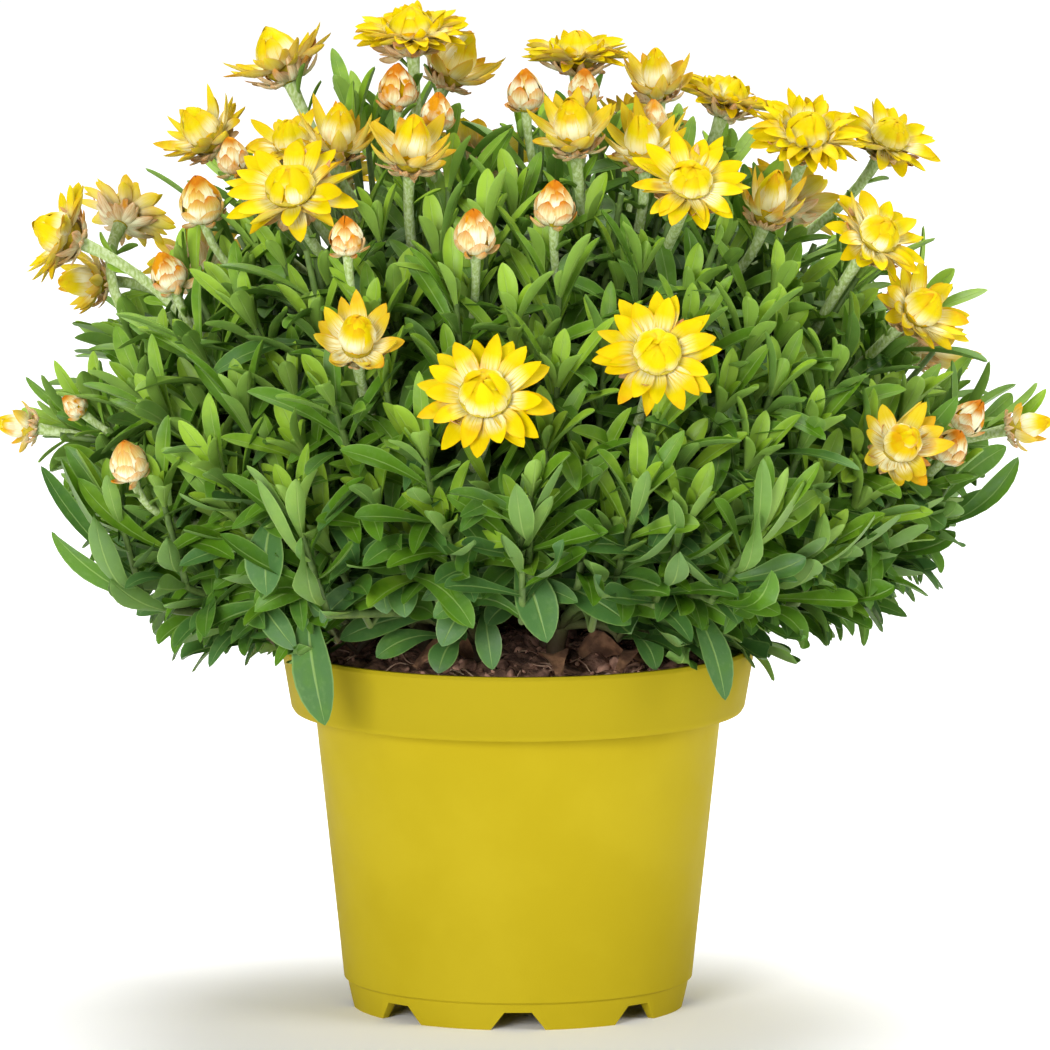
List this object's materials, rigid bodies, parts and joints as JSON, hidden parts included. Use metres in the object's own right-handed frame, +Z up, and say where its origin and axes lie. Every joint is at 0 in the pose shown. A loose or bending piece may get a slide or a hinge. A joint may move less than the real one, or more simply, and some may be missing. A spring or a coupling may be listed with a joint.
{
  "type": "potted strawflower",
  "caption": "Bushy yellow strawflower in bloom, its leafy stems standing in soil in a round tapered nursery pot with a stepped lip.",
  "frame": {"origin": "on the ground, on the axis of the pot", "axes": "+Z up along the axis of the pot, -Y to the front of the plant, +X to its right as seen from the front"},
  "size_m": [0.2884, 0.2688, 0.2777],
  "materials": {
    "pot_plastic": "satin",
    "peat": "matte",
    "foliage": "matte",
    "yellow_bracts": "satin",
    "bud_scales": "satin"
  },
  "bodies": {
    "root": {"pot": "pot_plastic", "soil": "peat", "leafy_stem_01": "foliage", "leafy_stem_02": "foliage", "leafy_stem_03": "foliage", "leafy_stem_04": "foliage", "leafy_stem_05": "foliage", "leafy_stem_06": "foliage", "leafy_stem_07": "foliage", "leafy_stem_08": "foliage", "leafy_stem_09": "foliage", "leafy_stem_10": "foliage", "leafy_stem_11": "foliage", "leafy_stem_12": "foliage", "bloom_01": "yellow_bracts", "bloom_02": "yellow_bracts", "bloom_03": "yellow_bracts", "bloom_04": "yellow_bracts", "bloom_05": "yellow_bracts", "bloom_06": "yellow_bracts", "bloom_07": "yellow_bracts", "bloom_08": "yellow_bracts", "bloom_09": "yellow_bracts", "bloom_10": "yellow_bracts", "bloom_11": "yellow_bracts", "bloom_12": "yellow_bracts", "bloom_13": "yellow_bracts", "bloom_14": "yellow_bracts", "bloom_15": "yellow_bracts", "bloom_16": "yellow_bracts", "bloom_17": "yellow_bracts", "bloom_18": "yellow_bracts", "bloom_19": "yellow_bracts", "bloom_20": "yellow_bracts", "bloom_21": "yellow_bracts", "bloom_22": "yellow_bracts", "bloom_23": "yellow_bracts", "bloom_24": "yellow_bracts", "bloom_25": "yellow_bracts", "bloom_26": "yellow_bracts", "bloom_27": "yellow_bracts", "bloom_28": "yellow_bracts", "bloom_29": "yellow_bracts", "bloom_30": "yellow_bracts", "bloom_31": "yellow_bracts", "bloom_32": "yellow_bracts", "bloom_33": "yellow_bracts", "bloom_34": "yellow_bracts", "bloom_35": "yellow_bracts", "bloom_36": "yellow_bracts", "bloom_37": "yellow_bracts", "bud_01": "bud_scales", "bud_02": "yellow_bracts", "bud_03": "bud_scales", "bud_04": "bud_scales", "bud_05": "bud_scales", "bud_06": "bud_scales", "bud_07": "bud_scales"}
  },
  "joints": []
}
